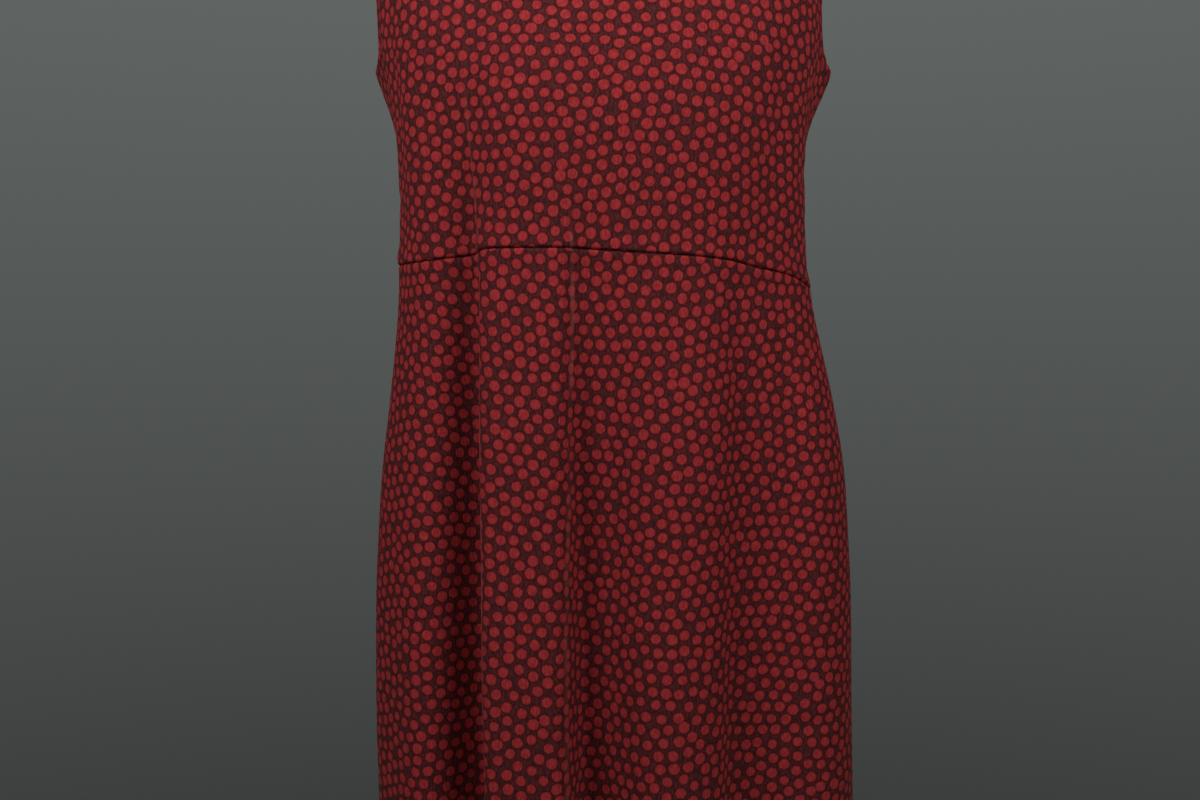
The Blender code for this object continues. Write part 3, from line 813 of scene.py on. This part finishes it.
def finished(name, middle, points, normals, beside, materials, dots):
    """Turns a back panel to face outwards, doubles its turned edges, prints it, and puts it in its
    solid's place."""
    if middle == BACK:
        points, normals = points[:, ::-1], normals[:, ::-1]
        beside = {attribute: places[:, ::-1] for attribute, places in beside.items()}
    double = 1 / (1 + np.exp(beside[STITCHING][..., 1:2] / DOUBLE_SOFTNESS))
    offsets = normals * CLOTH / 2 * (1 + DOUBLE_CLOTH * double)
    flat = flattened(points, points.shape[1] // 2)
    near = nearest_dots((dots + PRINT_PLACES[name]) % REPEAT)
    piece = cloth_sheet(name + "_cloth", points, offsets, flat, near, beside, materials)
    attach(piece, "root")
    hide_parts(name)


def linear(code):
    """A colour code in sRGB hex, as linear red, green, blue and full alpha, by the sRGB curve."""
    values = np.array([int(code[i : i + 2], 16) for i in (1, 3, 5)]) / 255
    values = np.where(values <= 0.04045, values / 12.92, ((values + 0.055) / 1.055) ** 2.4)
    return (*values, 1.0)


def add(tree, kind, inputs=(), out=0, **settings):
    """Adds a node with its settings, gives each named socket its value or its link, and returns the
    wanted output."""
    node = tree.nodes.new("ShaderNode" + kind)
    for name, value in settings.items():
        setattr(node, name, value)
    for socket, value in dict(inputs).items():
        if isinstance(value, bpy.types.NodeSocket):
            tree.links.new(value, node.inputs[socket])
        else:
            node.inputs[socket].default_value = value
    return node.outputs[out] if node.outputs else None


def cotton_jersey(name, colours):
    """Brushed cotton jersey, knitted from heathered yarn and printed with round dots. Brushing raises
    short fibres, so it is matt and its dots have soft edges. Along the sharpest folds a painted sheen,
    a pale highlight where the fibres catch grazing light, is laid into its colour."""
    material = bpy.data.materials.new(name)
    material.use_nodes = True
    tree = material.node_tree
    tree.nodes.clear()
    place = add(tree, "UVMap", out="UV", uv_map=FLAT_CLOTH)
    yarns = add(tree, "VectorMath", {0: place, 1: (1, YARN_STRETCH, 1)}, operation="MULTIPLY")
    fibres, heather, dot_sizes, sheen_breaks = (
        add(tree, "TexNoise", {"Vector": at, "Scale": 1 / mottle.size, "Detail": mottle.detail,
                               "Roughness": mottle.roughness}, out="Fac", noise_dimensions="2D")
        for at, mottle in ((place, FIBRES), (yarns, HEATHER), (place, DOT_SIZES), (place, SHEEN_BREAKS)))

    def paint(share, under, over):
        """Lays one colour over another by its share."""
        return add(tree, "Mix", {"Factor": share, UNDER: under, OVER: over}, out=MIXED,
                   data_type="RGBA")

    def nearer(one, other):
        """The smaller of two distances, whatever side they are on."""
        sizes = [add(tree, "Math", {0: away}, operation="ABSOLUTE") for away in (one, other)]
        return add(tree, "Math", dict(enumerate(sizes)), operation="MINIMUM")

    # Distance from the middle of the nearest dot, a little wrong by the cloth's fibres
    edge = FAR
    for number in range(DOTS_NEAR_A_FACE):
        dot = add(tree, "Attribute", out="Vector", attribute_name=f"{DOT_PLACE}{number}")
        away = add(tree, "VectorMath", {0: place, 1: dot}, out="Value", operation="DISTANCE")
        edge = add(tree, "Math", {0: away, 1: edge}, operation="MINIMUM")
    for texture, size in ((fibres, PRINT_WOBBLE), (dot_sizes, PRINT_SWELLING)):
        shift = add(tree, "MapRange", {"Value": texture, "To Min": -size / 2, "To Max": size / 2})
        edge = add(tree, "Math", {0: edge, 1: shift}, operation="ADD")

    # The ground, then the ring, then the dot's ink
    heathered = add(tree, "MapRange", {"Value": heather, "From Min": HEATHER_DARK,
                                       "From Max": HEATHER_PALE}, interpolation_type="SMOOTHSTEP")
    ink, ground = (paint(heathered, *(linear(code) for code in colours[part]))
                   for part in ("dots", "ground"))
    ringed = add(tree, "MapRange", {"Value": edge, "From Min": DOT_RADIUS + RING_WIDTH,
                                    "From Max": DOT_RADIUS}, interpolation_type="SMOOTHSTEP")
    inked = add(tree, "MapRange", {"Value": edge, "From Min": DOT_RADIUS + PRINT_SOFTNESS,
                                   "From Max": DOT_RADIUS - PRINT_SOFTNESS},
                interpolation_type="SMOOTHSTEP")
    colour = paint(ringed, ground, linear(colours["ring"]))
    colour = paint(inked, colour, ink)

    # Painted sheen: pale highlight lines along the sharpest folds, where the fibres catch grazing light,
    # in stretches
    sheen_places = add(tree, "Attribute", out="Vector", attribute_name=SHEEN_PLACES)
    pressed = add(tree, "SeparateXYZ", {"Vector": sheen_places}).node.outputs
    pale = add(tree, "MapRange", {"Value": nearer(pressed["X"], pressed["Y"]), "From Min": SHEEN_LINE_WIDTH,
                                  "From Max": SHEEN_LINE_MIDDLE, "To Max": SHEEN_LINE_PALENESS},
               interpolation_type="SMOOTHSTEP")
    stretches = add(tree, "MapRange", {"Value": sheen_breaks, "From Min": SHEEN_FROM, "From Max": SHEEN_TO,
                                       "To Min": SHEEN_LEAST})
    for factor in (pressed["Z"], stretches):
        pale = add(tree, "Math", {0: pale, 1: factor}, operation="MULTIPLY")
    colour = paint(pale, colour, linear(colours["pressed"]))

    # Two rows of stitches along each turned edge, in a shallow groove
    stitching = add(tree, "Attribute", out="Vector", attribute_name=STITCHING)
    sewn = add(tree, "SeparateXYZ", {"Vector": stitching}).node.outputs
    second = add(tree, "Math", {0: sewn["Y"], 1: ROWS_APART}, operation="SUBTRACT")
    row = nearer(sewn["Y"], second)
    stitches = add(tree, "Math", {0: sewn["X"], 1: 1 / STITCH}, operation="MULTIPLY")
    along = add(tree, "Math", {0: stitches}, operation="FRACT")
    shown = add(tree, "Math", {0: along, 1: STITCH_SHARE}, operation="LESS_THAN")
    beside = add(tree, "MapRange", {"Value": row, "From Min": THREAD * THREAD_EDGE,
                                    "From Max": THREAD * THREAD_MIDDLE})
    thread = add(tree, "Math", {0: beside, 1: shown}, operation="MULTIPLY")
    colour = paint(thread, colour, linear(colours["thread"]))
    groove = add(tree, "MapRange", {"Value": row, "From Max": GROOVE, "To Min": -GROOVE_DEPTH,
                                    "To Max": 0.0}, interpolation_type="SMOOTHSTEP")

    wale = add(tree, "TexWave", {"Vector": place, "Scale": 1 / (WALE * WAVE_BANDS),
                                 "Distortion": WALE_WANDER, "Detail": WALE_DETAIL,
                                 "Detail Scale": WALE_DETAIL_SCALE}, out="Fac",
               wave_type="BANDS", bands_direction="X")
    height = add(tree, "Math", {0: wale, 1: WALE_SHARE, 2: fibres}, operation="MULTIPLY_ADD")
    for raised in (groove, thread):
        height = add(tree, "Math", {0: height, 1: raised}, operation="ADD")
    knit = add(tree, "Bump", {"Height": height, "Distance": KNIT_HEIGHT, "Strength": KNIT_STRENGTH})
    surface = add(tree, "BsdfPrincipled", {
        "Base Color": colour, "Roughness": ROUGHNESS, "Specular IOR Level": SPECULAR,
        "Sheen Weight": SHEEN, "Sheen Roughness": SHEEN_ROUGHNESS, "Sheen Tint": linear(SHEEN_COLOUR),
        "Normal": knit})
    add(tree, "OutputMaterial", {"Surface": surface})
    return material


def soft_light(light):
    """A soft rectangular light that points from its place to its aim."""
    lamp = bpy.data.lights.new(light.name, "AREA")
    lamp.shape = "RECTANGLE"
    lamp.size = light.width
    lamp.size_y = light.height
    lamp.energy = light.power
    box = bpy.data.objects.new(light.name, lamp)
    box.location = light.place
    box.rotation_euler = (Vector(light.aim) - Vector(light.place)).to_track_quat("-Z", "Y").to_euler()
    bpy.context.collection.objects.link(box)


def pale_floor():
    """A square painted floor at the height of a standing wearer's feet."""
    sheet = bpy.data.meshes.new("studio_floor")
    corners = ((-1, -1), (1, -1), (1, 1), (-1, 1))
    sheet.from_pydata([(x * FLOOR_HALF, y * FLOOR_HALF, FLOOR_HEIGHT) for x, y in corners], [],
                      [(0, 1, 2, 3)])
    paint = bpy.data.materials.new("pale floor paint")
    paint.use_nodes = True
    surface = paint.node_tree.nodes["Principled BSDF"]
    surface.inputs["Base Color"].default_value = linear(FLOOR_COLOUR)
    surface.inputs["Roughness"].default_value = FLOOR_ROUGHNESS
    sheet.materials.append(paint)
    floor = bpy.data.objects.new("studio_floor", sheet)
    bpy.context.collection.objects.link(floor)


def surround():
    """A plain grey surround, darker below, that gives the dress less light than the camera sees."""
    world = bpy.data.worlds.new("studio")
    world.use_nodes = True
    tree = world.node_tree
    background = tree.nodes["Background"]
    towards = add(tree, "TexCoord", out="Generated")
    height = add(tree, "SeparateXYZ", {"Vector": towards}, out="Z")
    share = add(tree, "MapRange", {"Value": height, "From Min": SURROUND_LOW, "From Max": SURROUND_HIGH})
    low, high = (linear(code) for code in SURROUND_COLOURS)
    shade = add(tree, "Mix", {"Factor": share, UNDER: low, OVER: high}, out=MIXED, data_type="RGBA")
    tree.links.new(shade, background.inputs["Color"])
    seen = add(tree, "LightPath", out="Is Camera Ray")
    strength = add(tree, "MapRange", {"Value": seen, "To Min": SURROUND_LIGHT})
    tree.links.new(strength, background.inputs["Strength"])
    bpy.context.scene.world = world


def camera():
    """The photograph's view: straight on from a metre away, a little above the waist and looking a
    little down."""
    lens = bpy.data.cameras.new("camera")
    lens.sensor_width = SENSOR_WIDTH
    lens.lens = FOCAL_LENGTH
    eye = bpy.data.objects.new("camera", lens)
    eye.location = CAMERA_PLACE
    eye.rotation_euler = (np.radians(90 - CAMERA_TILT), 0, 0)
    bpy.context.collection.objects.link(eye)
    bpy.context.scene.camera = eye


camera()
bpy.context.scene.view_settings.view_transform = "Standard"
pale_floor()
surround()
for light in LIGHTS:
    soft_light(light)

jersey = (cotton_jersey("brushed cotton jersey, printed", PRINTED),
          cotton_jersey("brushed cotton jersey, reverse", REVERSE))
dots = scattered_dots()
bodice("bodice_front", FRONT, jersey, dots)
bodice("bodice_back", BACK, jersey, dots)
skirt("skirt_front", FRONT, jersey, dots)
skirt("skirt_back", BACK, jersey, dots)
